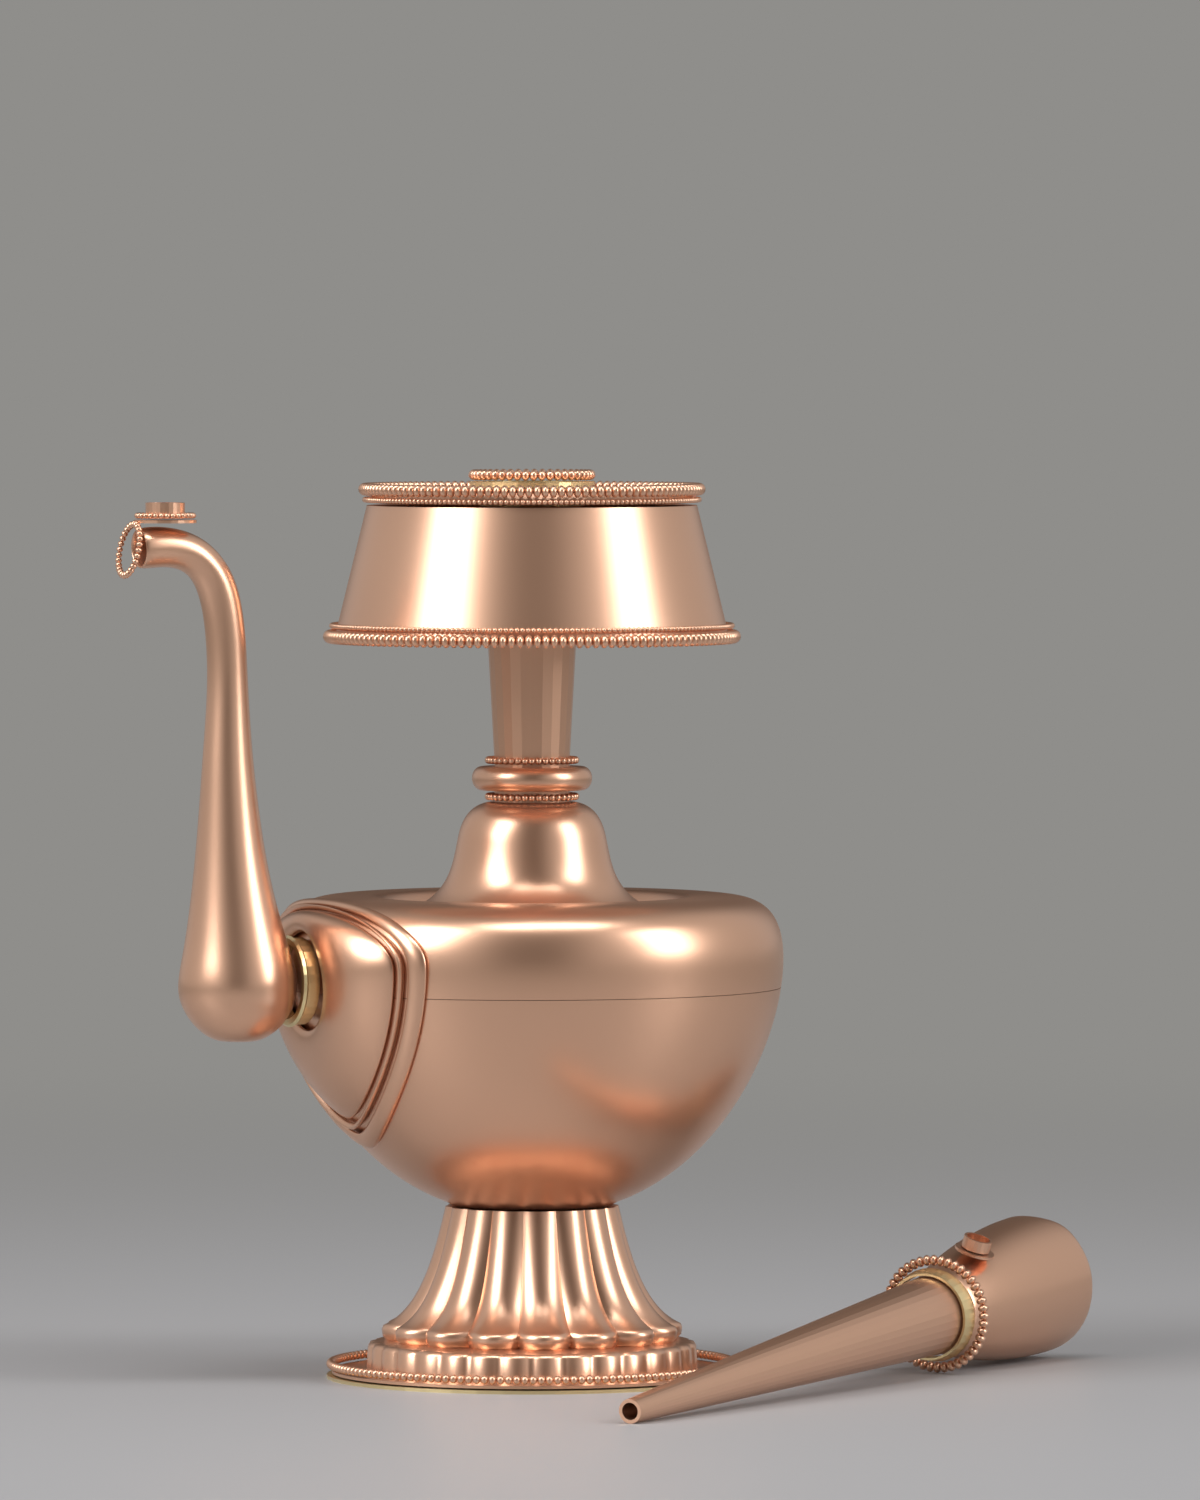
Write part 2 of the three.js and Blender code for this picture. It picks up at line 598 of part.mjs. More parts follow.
function shellRing(share, inset) {
  const ring = [];
  const sides = 24;
  const grown = Math.sin((Math.PI / 2) * Math.pow(share, 0.8));
  const halfH = THREE.MathUtils.lerp(SPIKE_END_R, SHELL_HALF_H, grown) - inset;
  const halfW = THREE.MathUtils.lerp(SPIKE_END_R, SHELL_HALF_W, grown) - inset;
  for (let j = 0; j < sides; j++) {
    const turn = (j / sides) * Math.PI * 2;
    const top = Math.max(0, -Math.cos(turn));
    const length = SHELL_L - SHELL_NOTCH * Math.pow(top, 3) * Math.abs(Math.sin(turn * 2.5));
    ring.push(new THREE.Vector3(
      halfH * Math.cos(turn), halfW * Math.sin(turn), SPIKE_L + GAP + HOLDER_BEAD_R + share * length,
    ));
  }
  return ring;
}

function makeHolderShell() {
  const steps = 6;
  const outer = [];
  const inner = [];
  for (let i = 0; i <= steps; i++) {
    outer.push(shellRing(i / steps, 0));
    inner.push(shellRing(i / steps, HOLDER_SHEET));
  }
  add('insert_shell', skin([...outer, ...inner.reverse()], { stackCloses: true }), COPPER, holder);
}

function makeHolderBezel() {
  const seat = new THREE.Group();
  const along = 9;
  const shareAlong = along / SHELL_L;
  const grown = Math.sin((Math.PI / 2) * Math.pow(shareAlong, 0.8));
  const height = THREE.MathUtils.lerp(SPIKE_END_R, SHELL_HALF_H, grown) + 2 * GAP + 0.7;
  const side = THREE.MathUtils.degToRad(20);
  seat.rotation.z = side;
  holder.add(seat);
  const place = (geometry) => {
    geometry.rotateY(-Math.PI / 2);
    geometry.translate(-height, 0, SPIKE_L + HOLDER_BEAD_R + along);
    return geometry;
  };
  const plateT = 0.5;
  add('insert_bezel_plate', place(latheSolid([
    vec(0, 0), vec(HOLDER_BEZEL_R + 1.2, 0), vec(HOLDER_BEZEL_R + 1.2, plateT), vec(0, plateT),
  ], 24)), COPPER, seat);
  const cupZ = plateT + GAP;
  const cupTop = cupZ + 2.4;
  const bore = HOLDER_BEZEL_R - BEZEL_WALL;
  add('insert_bezel_cup', place(latheSolid([
    vec(0, cupZ), vec(HOLDER_BEZEL_R, cupZ), vec(HOLDER_BEZEL_R, cupTop), vec(bore, cupTop),
    vec(bore, cupZ + BEZEL_WALL), vec(0, cupZ + BEZEL_WALL),
  ], 24)), COPPER, seat);
}

makeFoot();
makeBody();
makeNeck();
makeDish();
makeSpout();
makeSpoutBezel();
makeSpoutRing();
makeShield();
makeHolder();

export default model;
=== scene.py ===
import json
from math import cos, pi, radians, sin, sqrt

import bmesh
import bpy
import numpy as np
from mathutils import Matrix, Vector


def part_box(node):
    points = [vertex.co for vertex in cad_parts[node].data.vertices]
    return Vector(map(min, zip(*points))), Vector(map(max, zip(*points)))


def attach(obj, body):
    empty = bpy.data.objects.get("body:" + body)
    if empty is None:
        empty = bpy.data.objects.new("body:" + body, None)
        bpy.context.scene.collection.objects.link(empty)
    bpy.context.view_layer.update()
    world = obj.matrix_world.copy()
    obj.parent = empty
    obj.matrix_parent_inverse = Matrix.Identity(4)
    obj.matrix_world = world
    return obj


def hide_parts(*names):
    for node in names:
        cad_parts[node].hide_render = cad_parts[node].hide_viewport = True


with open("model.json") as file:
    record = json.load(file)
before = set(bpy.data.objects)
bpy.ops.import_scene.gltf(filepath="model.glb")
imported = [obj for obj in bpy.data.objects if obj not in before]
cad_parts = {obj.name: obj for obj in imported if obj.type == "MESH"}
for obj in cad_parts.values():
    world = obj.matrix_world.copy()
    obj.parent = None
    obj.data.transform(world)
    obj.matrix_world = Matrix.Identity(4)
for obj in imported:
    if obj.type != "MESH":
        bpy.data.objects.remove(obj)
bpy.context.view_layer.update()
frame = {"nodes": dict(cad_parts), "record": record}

bl_info = {
    "name": "Bumpa vase",
    "version": (1, 0, 0),
    "blender": (4, 5, 0),
    "location": "View3D > Sidebar > Bumpa",
    "description": "Builds a raised copper ritual ewer and its loose feather holder",
    "category": "Object",
}

MM = 0.001

# Lengths from here to the beads are in millimetres
# A handle is how far a curve's control point stands off the curve's end
SHEET = 1.0

# Lotus foot: ribs above, a tier of small petals below, and the flange that it stands on
PETALS = 16
PETAL_STEPS = 16
PETAL_PHASE = radians(5.5)
PETAL_ROUNDNESS = 0.4
RIB_LOBES = 1
TIER_LOBES = 2
FOOT_TOP_R = 17.9
FOOT_TOP_Z = 35.4
FOOT_TOP_HANDLE_R = 2.6
FOOT_TOP_HANDLE_Z = 11.4
RIB_END_R = 30.8
RIB_END_Z = 10.9
RIB_END_HANDLE_R = 7.3
RIB_END_HANDLE_Z = 3.1
RIB_END_GROOVE = 3.4
RIB_TOP_GROOVE = 0.9
TIER_R = 33.9
TIER_TOP_Z = 7.2
TIER_GROOVE = 0.9
TIER_TOP_GROOVE = 1.2
FLANGE_R = 41.3
FLANGE_Z = 1.0
FLANGE_TOP = 1.6

# Outlines of the foot as radius and height: up the outside, then down the inside
FLANGE_OUTLINE = [(FLANGE_R, FLANGE_Z), (FLANGE_R, FLANGE_TOP)]
TIER_OUTLINE = [
    (TIER_R + 0.4, FLANGE_TOP + 0.1), (TIER_R + 0.1, TIER_TOP_Z - 0.8), (TIER_R - 0.4, TIER_TOP_Z),
]
TIER_TOP = (TIER_R - 1.6, TIER_TOP_Z + 0.3)
RIB_END_OUTLINE = [
    (RIB_END_R - 0.6, RIB_END_Z - 2.9), (RIB_END_R + 0.1, RIB_END_Z - 2.2),
    (RIB_END_R + 0.3, RIB_END_Z - 0.8),
]
FOOT_INSIDE = [
    (FOOT_TOP_R - 2, FOOT_TOP_Z), (FOOT_TOP_R - 0.4, RIB_END_Z + 11),
    (RIB_END_R - 10, RIB_END_Z + 1), (RIB_END_R - 6, TIER_TOP_Z + 0.2),
    (TIER_R - 2.4, TIER_TOP_Z - 1.6), (TIER_R - 2.1, FLANGE_Z),
]

# Bowl and shoulder, which meet at a seam below the belly's widest place
BOWL_FOOT_R = 17.6
BOWL_LIFT = 0.9
BOWL_FOOT_HANDLE_R = 23.3
BOWL_FOOT_HANDLE_Z = 8.5
BOWL_FLOOR_R = 16.6
BOWL_FLOOR_DROP = 0.6
BOWL_CENTRE_R = 0.3
BELLY_R = 51.8
BELLY_Z = 86.4
BELLY_HANDLE = 15.1
SEAM_SHARE = 0.88
SEAM_GAP = 0.12
SHOULDER_TOP_Z = 99.4
SHOULDER_HANDLE = 8.6
CREST_R = 40
CREST_HANDLE = 8.5
RECESS_R = 30.2
RECESS_Z = 95.2
RECESS_HOLE_R = 20
ROLL_START = 3
ROLL_TOP_HANDLE = 2
ROLL_END = 1.5
ROLL_END_HANDLE = 2.5

# Neck bell and dish wall
NECK_R = 7.8
NECK_GAP = 0.5
BELL_TOP_Z = 118.8
BELL_TOP_HANDLE_R = 4.2
BELL_TOP_HANDLE_Z = 0.4
BELL_WAIST_R = 15.2
BELL_WAIST_Z = 111.7
BELL_ROUND_HANDLE_R = 0.8
BELL_ROUND_HANDLE_Z = 3.8
BELL_FLARE_HANDLE_R = 1.4
BELL_FLARE_HANDLE_Z = 6.9
BELL_FOOT_R = 26.8
BELL_LIFT = 0.5
BELL_FOOT_HANDLE_R = 9.8
BELL_FOOT_HANDLE_Z = 3.8
DISH_BASE_R = 40.4
DISH_TOP_R = 34.0
DISH_TOP_GAP = 0.2

# Spout end and feather holder
SPOUT_TURN = pi + radians(26)
SPOUT_END_REACH = 90.6
SPOUT_END_Z = 171.4
LIP_R = 4.7
LIP_BEAD_R = 0.68
LIP_BEAD_LENGTH = 0.8
LIP_BEADS = 28
LIP_LEAN = radians(12)
LIP_STRETCH = 1.12
HOLDER_TURN = radians(61.6)
HOLDER_LEAN = radians(4.23)
HOLDER_TIP = (19.9, -109.5, 2.49)
SPIKE_L = 134
HOLDER_RING_R = 11.2
HOLDER_BEAD_R = 1.15
HOLDER_BEAD_LENGTH = 0.72
HOLDER_BEADS = 44

# Wires of beads: node, body, beads round the ring, and a bead's length as a share of its width
BEAD_RINGS = [
    ("foot_bead_wire", "vase", 157, 0.9),
    ("lower_neck_beads", "vase", 40, 0.95),
    ("upper_neck_beads", "vase", 40, 0.95),
    ("dish_lower_beads", "vase", 151, 0.64),
    ("dish_lower_fine_beads", "vase", 230, 1.0),
    ("dish_upper_fine_beads", "vase", 194, 1.0),
    ("dish_upper_beads", "vase", 131, 0.66),
    ("mouth_beads", "vase", 45, 0.82),
    ("spout_bezel_beads", "vase", 30, 1.0),
]
BEAD_SWELL = 1.05

# Pieces rounded off from their frame shape: node, body and levels of subdivision
ROUNDED = [
    ("spout", "vase", 3),
    ("spout_shield", "vase", 2),
    ("spout_shield_band", "vase", 2),
    ("spout_shield_rope", "vase", 2),
    ("neck_ring", "vase", 3),
    ("insert_shell", "insert", 2),
]

# Points of the frame closer than this become one, in metres
WELD = 1e-6

# Least angle of an edge that stays sharp, in degrees
TURNED_SHARP = 40
FOOT_SHARP = 50
BEAD_SHARP = 80
CARRIED_SHARP = 35

# Share of oxide in a blotch of the metal, and how dark a blotch of brass is
BLOTCH_OXIDE = 0.35
BRASS_BLOTCH = 0.6

# Stage, in metres and watts: a lamp's name, place, height aimed at, width and height, and power
LAMPS = [
    ("key", (-1.1, -0.7, 1.0), 0.08, (0.7, 1.0), 17),
    ("fill", (1.2, -0.5, 0.7), 0.08, (0.5, 0.9), 9),
    ("strip", (0.1, -0.5, 1.3), 0.1, (0.9, 0.25), 7),
]
TABLE_HALF = 40.0
ROOM_DARK = (0.085, 0.07, 0.06)
ROOM_LIGHT = (0.5, 0.5, 0.5)
CAMERA_PLACE = (0.014, -2.6, 0.222)
CAMERA_DIP = radians(2.04)
CAMERA_LENS = 303.2
CAMERA_CLIP = 200

# Sockets of a Mix node set to colours, whose names it repeats for other kinds of value
MIX_SHARE = 0
MIX_FIRST = 6
MIX_SECOND = 7
MIX_COLOUR = 2


def colour(name, description, default):
    return bpy.props.FloatVectorProperty(
        name=name, description=description, default=default, size=3, subtype="COLOR")


class BumpaSizes(bpy.types.PropertyGroup):
    """Fineness and colours of the ewer and its stage"""

    turns: bpy.props.IntProperty(
        name="Steps round", description="Faces round each turned piece", default=192, min=32)
    copper: colour("Copper", "Bare copper", (0.80, 0.36, 0.20))
    copper_dark: colour("Oxide", "Darker, browner copper", (0.42, 0.17, 0.10))
    brass: colour("Brass", "Solder and thin plate", (0.68, 0.47, 0.20))
    backdrop: colour("Backdrop", "Grey behind the ewer", (0.275, 0.27, 0.258))
    table: colour("Table", "Pale grey surface", (0.40, 0.40, 0.41))


def settings():
    return bpy.context.scene.bumpa_sizes


def stand_for(obj, body, node_name):
    """The copper piece rides on the body in the place of the frame's node."""
    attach(obj, body)
    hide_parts(node_name)


def new_object(name, data):
    obj = bpy.data.objects.new(name, data)
    bpy.context.scene.collection.objects.link(obj)
    return obj


def shade_all_smooth(mesh):
    mesh.polygons.foreach_set("use_smooth", [True] * len(mesh.polygons))


def smooth(mesh, sharp):
    shade_all_smooth(mesh)
    mesh.set_sharp_from_angle(angle=radians(sharp))


def mesh_object(name, vertices, faces, sharp=TURNED_SHARP):
    mesh = bpy.data.meshes.new(name)
    mesh.from_pydata(vertices, [], faces)
    mesh.update()
    smooth(mesh, sharp)
    return new_object(name, mesh)


def outward(mesh):
    """Faces turned to point out of the closed mesh."""
    work = bmesh.new()
    work.from_mesh(mesh)
    volume = work.calc_volume(signed=True)
    work.free()
    if volume < 0:
        mesh.flip_normals()


def bezier(a, b, c, d, steps, start=0.0, end=1.0):
    """Points of a cubic curve between two values of its parameter."""
    t = np.linspace(start, end, steps + 1)[:, None]
    a, b, c, d = (np.array(p, float) for p in (a, b, c, d))
    return (1 - t) ** 3 * a + 3 * (1 - t) ** 2 * t * b + 3 * (1 - t) * t ** 2 * c + t ** 3 * d


def sheet_of(line):
    """A closed outline: the line, and the same line moved to its left by the sheet's thickness."""
    line = np.asarray(line, float)
    way = np.gradient(line, axis=0)
    way /= np.linalg.norm(way, axis=1)[:, None]
    side = np.stack([-way[:, 1], way[:, 0]], 1)
    return np.vstack([line, (line + side * SHEET)[::-1]])


def grid_faces(rings, around):
    """Faces between rings of points, the last ring joined to the first."""
    faces = []
    for i in range(rings):
        k = (i + 1) % rings
        for j in range(around):
            n = (j + 1) % around
            faces.append((i * around + j, i * around + n, k * around + n, k * around + j))
    return faces


def turned(node_name, outline):
    """A closed outline of radius and height, in millimetres, turned about Z for a node."""
    around = settings().turns
    turns = np.arange(around) * 2 * pi / around
    vertices = [(r * cos(a) * MM, r * sin(a) * MM, z * MM) for r, z in outline for a in turns]
    obj = mesh_object("fine_" + node_name, vertices, grid_faces(len(outline), around))
    outward(obj.data)
    obj.data.materials.append(metal("copper"))
    stand_for(obj, "vase", node_name)


def node(tree, kind, inputs=None, **values):
    """A new node of the tree, with its settings and its plain inputs."""
    made = tree.nodes.new(kind)
    for key, value in values.items():
        setattr(made, key, value)
    for key, value in (inputs or {}).items():
        made.inputs[key].default_value = value
    return made


def colour_mix(tree, share, first, second):
    mix = node(tree, "ShaderNodeMix", data_type="RGBA")
    mix.inputs[MIX_FIRST].default_value = (*first, 1)
    mix.inputs[MIX_SECOND].default_value = (*second, 1)
    tree.links.new(share, mix.inputs[MIX_SHARE])
    return mix.outputs[MIX_COLOUR]


def shader_mix(tree, share, first, second):
    mix = node(tree, "ShaderNodeMixShader")
    for source, socket in zip((share, first, second), mix.inputs):
        tree.links.new(source, socket)
    return mix.outputs[0]


def metal_group():
    """Tone, roughness and height of hand-worked metal, from noise at three scales."""
    name = "Hand-worked metal"
    if name in bpy.data.node_groups:
        return bpy.data.node_groups[name]
    tree = bpy.data.node_groups.new(name, "ShaderNodeTree")
    for out in ("Tone", "Roughness", "Height"):
        tree.interface.new_socket(out, in_out="OUTPUT", socket_type="NodeSocketFloat")
    ends = node(tree, "NodeGroupOutput")
    place = node(tree, "ShaderNodeTexCoord")
    blotch = node(tree, "ShaderNodeTexNoise", {"Scale": 38, "Detail": 5})
    fine = node(tree, "ShaderNodeTexNoise", {"Scale": 900, "Detail": 3})
    dents = node(tree, "ShaderNodeTexNoise", {"Scale": 130})
    for texture in (blotch, fine, dents):
        tree.links.new(place.outputs["Object"], texture.inputs["Vector"])
    tone = node(tree, "ShaderNodeMapRange", {"From Min": 0.38, "From Max": 0.68})
    tree.links.new(blotch.outputs["Fac"], tone.inputs["Value"])
    rough = node(tree, "ShaderNodeMapRange", {"To Min": 0.16, "To Max": 0.34})
    tree.links.new(fine.outputs["Fac"], rough.inputs["Value"])
    height = node(tree, "ShaderNodeMath", {1: 0.12}, operation="MULTIPLY_ADD")
    tree.links.new(fine.outputs["Fac"], height.inputs[0])
    tree.links.new(dents.outputs["Fac"], height.inputs[2])
    tree.links.new(tone.outputs["Result"], ends.inputs["Tone"])
    tree.links.new(rough.outputs["Result"], ends.inputs["Roughness"])
    tree.links.new(height.outputs["Value"], ends.inputs["Height"])
    return tree


def metal(slot):
    """Copper or brass, blotched with oxide and slightly uneven."""
    if slot in bpy.data.materials:
        return bpy.data.materials[slot]
    look = settings()
    pale = look.copper if slot == "copper" else look.brass
    dark = look.copper_dark if slot == "copper" else [v * BRASS_BLOTCH for v in look.brass]
    blotch = [(1 - BLOTCH_OXIDE) * p + BLOTCH_OXIDE * d for p, d in zip(pale, dark)]
    material = bpy.data.materials.new(slot)
    material.use_nodes = True
    tree = material.node_tree
    shader = tree.nodes["Principled BSDF"]
    shader.inputs["Metallic"].default_value = 1.0
    worked = node(tree, "ShaderNodeGroup", node_tree=metal_group())
    tone = colour_mix(tree, worked.outputs["Tone"], pale, blotch)
    tree.links.new(tone, shader.inputs["Base Color"])
    tree.links.new(worked.outputs["Roughness"], shader.inputs["Roughness"])
    bump = node(tree, "ShaderNodeBump", {"Strength": 0.12, "Distance": 0.0004})
    tree.links.new(worked.outputs["Height"], bump.inputs["Height"])
    tree.links.new(bump.outputs["Normal"], shader.inputs["Normal"])
    return material


def bead_tree():
    """A ring of beads round Z, with each bead's length along the ring as a share of its width."""
    name = "Bead ring"
    if name in bpy.data.node_groups:
        return bpy.data.node_groups[name]
    tree = bpy.data.node_groups.new(name, "GeometryNodeTree")
    face = tree.interface
    face.new_socket("Geometry", in_out="INPUT", socket_type="NodeSocketGeometry")
    for words in ("Ring Radius", "Bead Radius", "Length"):
        face.new_socket(words, in_out="INPUT", socket_type="NodeSocketFloat")
    face.new_socket("Count", in_out="INPUT", socket_type="NodeSocketInt")
    face.new_socket("Material", in_out="INPUT", socket_type="NodeSocketMaterial")
    face.new_socket("Geometry", in_out="OUTPUT", socket_type="NodeSocketGeometry")
    link = tree.links.new
    start = node(tree, "NodeGroupInput")
    end = node(tree, "NodeGroupOutput")
    circle = node(tree, "GeometryNodeMeshCircle")
    link(start.outputs["Count"], circle.inputs["Vertices"])
    link(start.outputs["Ring Radius"], circle.inputs["Radius"])
    bead = node(tree, "GeometryNodeMeshUVSphere", {"Segments": 12, "Rings": 8})
    link(start.outputs["Bead Radius"], bead.inputs["Radius"])
    index = node(tree, "GeometryNodeInputIndex")
    share = node(tree, "ShaderNodeMath", operation="DIVIDE")
    link(index.outputs[0], share.inputs[0])
    link(start.outputs["Count"], share.inputs[1])
    turn = node(tree, "ShaderNodeMath", {1: 2 * pi}, operation="MULTIPLY")
    link(share.outputs[0], turn.inputs[0])
    angles = node(tree, "ShaderNodeCombineXYZ")
    link(turn.outputs[0], angles.inputs["Z"])
    scale = node(tree, "ShaderNodeCombineXYZ", {"X": 1, "Z": 1})
    link(start.outputs["Length"], scale.inputs["Y"])
    copies = node(tree, "GeometryNodeInstanceOnPoints")
    link(circle.outputs["Mesh"], copies.inputs["Points"])
    link(bead.outputs["Mesh"], copies.inputs["Instance"])
    link(angles.outputs[0], copies.inputs["Rotation"])
    link(scale.outputs[0], copies.inputs["Scale"])
    real = node(tree, "GeometryNodeRealizeInstances")
    link(copies.outputs["Instances"], real.inputs["Geometry"])
    paint = node(tree, "GeometryNodeSetMaterial")
    link(real.outputs["Geometry"], paint.inputs["Geometry"])
    link(start.outputs["Material"], paint.inputs["Material"])
    link(paint.outputs["Geometry"], end.inputs["Geometry"])
    return tree


def bead_ring(name, place, ring, bead, length, count):
    """A plain mesh of a ring of beads, moved to its place."""
    values = {
        "Ring Radius": ring, "Bead Radius": bead, "Length": length, "Count": count,
        "Material": metal("copper"),
    }
    tree = bead_tree()
    obj = new_object(name, bpy.data.meshes.new(name))
    modifier = obj.modifiers.new("Beads", "NODES")
    modifier.node_group = tree
    for item in tree.interface.items_tree:
        if item.in_out == "INPUT" and item.name in values:
            modifier[item.identifier] = values[item.name]
    bpy.context.view_layer.update()
    seen = obj.evaluated_get(bpy.context.evaluated_depsgraph_get())
    mesh = bpy.data.meshes.new_from_object(seen)
    obj.modifiers.clear()
    obj.data = mesh
    smooth(mesh, BEAD_SHARP)
    mesh.transform(place)
    return obj


def foot_rings():
    """Rings up the outside and down the inside: radius, height, groove depth, lobes to a petal."""
    ribs = bezier(
        (RIB_END_R, RIB_END_Z), (RIB_END_R - RIB_END_HANDLE_R, RIB_END_Z + RIB_END_HANDLE_Z),
        (FOOT_TOP_R + FOOT_TOP_HANDLE_R, FOOT_TOP_Z - FOOT_TOP_HANDLE_Z), (FOOT_TOP_R, FOOT_TOP_Z),
        steps=24)
    rings = [(r, z, 0, RIB_LOBES) for r, z in FLANGE_OUTLINE]
    rings += [(r, z, TIER_GROOVE, TIER_LOBES) for r, z in TIER_OUTLINE]
    rings.append((*TIER_TOP, TIER_TOP_GROOVE, TIER_LOBES))
    rings += [(r, z, RIB_END_GROOVE, RIB_LOBES) for r, z in RIB_END_OUTLINE]
    for i, (r, z) in enumerate(ribs):
        share = i / (len(ribs) - 1)
        groove = RIB_END_GROOVE + (RIB_TOP_GROOVE - RIB_END_GROOVE) * sqrt(share)
        rings.append((r, z, groove, RIB_LOBES))
    rings += [(r, z, 0, RIB_LOBES) for r, z in FOOT_INSIDE]
    return rings


def belly_curve():
    """Control points of the bowl's side, from its foot to the belly's widest place."""
    foot_z = FOOT_TOP_Z + BOWL_LIFT
    return [
        (BOWL_FOOT_R, foot_z),
        (BOWL_FOOT_R + BOWL_FOOT_HANDLE_R, foot_z + BOWL_FOOT_HANDLE_Z),
        (BELLY_R, BELLY_Z - BELLY_HANDLE),
        (BELLY_R, BELLY_Z),
    ]


def bowl_outline():
    side = bezier(*belly_curve(), steps=40, end=SEAM_SHARE)
    floor_z = side[0][1] - BOWL_FLOOR_DROP
    return sheet_of(np.vstack([[(BOWL_CENTRE_R, floor_z), (BOWL_FLOOR_R, floor_z)], side]))


def shoulder_outline():
    rise = bezier(*belly_curve(), steps=6, start=SEAM_SHARE)
    rise[0][1] += SEAM_GAP
    round_over = bezier(
        (BELLY_R, BELLY_Z), (BELLY_R, BELLY_Z + SHOULDER_HANDLE),
        (CREST_R + CREST_HANDLE, SHOULDER_TOP_Z), (CREST_R, SHOULDER_TOP_Z), steps=24)
    roll_start_r = RECESS_R + ROLL_START
    roll = bezier(
        (roll_start_r, SHOULDER_TOP_Z), (roll_start_r - ROLL_TOP_HANDLE, SHOULDER_TOP_Z),
        (RECESS_R, RECESS_Z + ROLL_END_HANDLE), (RECESS_R - ROLL_END, RECESS_Z), steps=10)
    return sheet_of(np.vstack([rise, round_over[1:], roll, [(RECESS_HOLE_R, RECESS_Z)]]))


def bell_outline():
    top_r = NECK_R + NECK_GAP
    waist = (BELL_WAIST_R, BELL_WAIST_Z)
    foot_z = RECESS_Z + BELL_LIFT
    top = bezier(
        (top_r, BELL_TOP_Z), (top_r + BELL_TOP_HANDLE_R, BELL_TOP_Z - BELL_TOP_HANDLE_Z),
        (BELL_WAIST_R - BELL_ROUND_HANDLE_R, BELL_WAIST_Z + BELL_ROUND_HANDLE_Z), waist, steps=14)
    flare = bezier(
        waist, (BELL_WAIST_R + BELL_FLARE_HANDLE_R, BELL_WAIST_Z - BELL_FLARE_HANDLE_Z),
        (BELL_FOOT_R - BELL_FOOT_HANDLE_R, foot_z + BELL_FOOT_HANDLE_Z),
        (BELL_FOOT_R, foot_z), steps=24)
    return sheet_of(np.vstack([top, flare[1:]])[::-1])


def dish_outline():
    low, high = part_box("dish_wall")
    return sheet_of([(DISH_BASE_R, low[2] / MM), (DISH_TOP_R, high[2] / MM - DISH_TOP_GAP)])


class BUMPA_OT_foot(bpy.types.Operator):
    """Raised lotus petals in two tiers"""
    bl_idname = "bumpa.foot"
    bl_label = "Lotus foot"

    def execute(self, context):
        rows = foot_rings()
        around = PETALS * PETAL_STEPS
        vertices = []
        for r, z, groove, lobes in rows:
            for j in range(around):
                turn = j * 2 * pi / around
                wave = 0.5 + 0.5 * cos(PETALS * lobes * (turn - PETAL_PHASE + pi / 2))
                reach = (r - groove * (1 - wave ** PETAL_ROUNDNESS)) * MM
                vertices.append((reach * cos(turn), reach * sin(turn), z * MM))
        obj = mesh_object("lotus_petals", vertices, grid_faces(len(rows), around), FOOT_SHARP)
        outward(obj.data)
        obj.data.materials.append(metal("copper"))
        stand_for(obj, "vase", "lotus_foot")
        return {"FINISHED"}


class BUMPA_OT_body(bpy.types.Operator):
    """Bowl, shoulder, neck bell and dish wall, turned finely"""
    bl_idname = "bumpa.body"
    bl_label = "Body"

    def execute(self, context):
        turned("bowl", bowl_outline())
        turned("shoulder", shoulder_outline())
        turned("neck_bell", bell_outline())
        turned("dish_wall", dish_outline())
        return {"FINISHED"}


class BUMPA_OT_beads(bpy.types.Operator):
    """Beaded wires round the foot, neck, dish, mouth and bezel"""
    bl_idname = "bumpa.beads"
    bl_label = "Beaded wires"

    def execute(self, context):
        for name, body, count, length in BEAD_RINGS:
            low, high = (Vector(corner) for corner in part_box(name))
            bead = (high.z - low.z) / 2 * BEAD_SWELL
            ring = (high.x - low.x) / 2 - bead
            place = Matrix.Translation((low + high) / 2)
            piece = name.replace("_wire", "") + "_fine"
            obj = bead_ring(piece, place, ring, bead, length, count)
            stand_for(obj, body, name)
        return {"FINISHED"}


class BUMPA_OT_slanted_beads(bpy.types.Operator):
    """Beads round the spout's lip and round the feather holder"""
    bl_idname = "bumpa.slanted_beads"
    bl_label = "Slanted beads"

    def execute(self, context):
        lip = Matrix.Rotation(SPOUT_TURN, 4, "Z")
        lip = lip @ Matrix.Translation(Vector((SPOUT_END_REACH, 0, SPOUT_END_Z)) * MM)
        lip = lip @ Matrix.Rotation(pi / 2 - LIP_LEAN, 4, "Y")
        lip = lip @ Matrix.Diagonal((LIP_STRETCH, 1, 1, 1))
        lip_beads = bead_ring(
            "lip_beads", lip, LIP_R * MM, LIP_BEAD_R * MM, LIP_BEAD_LENGTH, LIP_BEADS)
        stand_for(lip_beads, "vase", "spout_lip_beads")
        hold = Matrix.Translation(Vector(HOLDER_TIP) * MM)
        hold = hold @ Matrix.Rotation(HOLDER_TURN, 4, "Z")
        hold = hold @ Matrix.Rotation(pi / 2 - HOLDER_LEAN, 4, "Y")
        hold = hold @ Matrix.Translation((0, 0, SPIKE_L * MM))
        holder_beads = bead_ring(
            "holder_beads", hold, HOLDER_RING_R * MM, HOLDER_BEAD_R * MM,
            HOLDER_BEAD_LENGTH, HOLDER_BEADS)
        stand_for(holder_beads, "insert", "insert_beads")
        return {"FINISHED"}


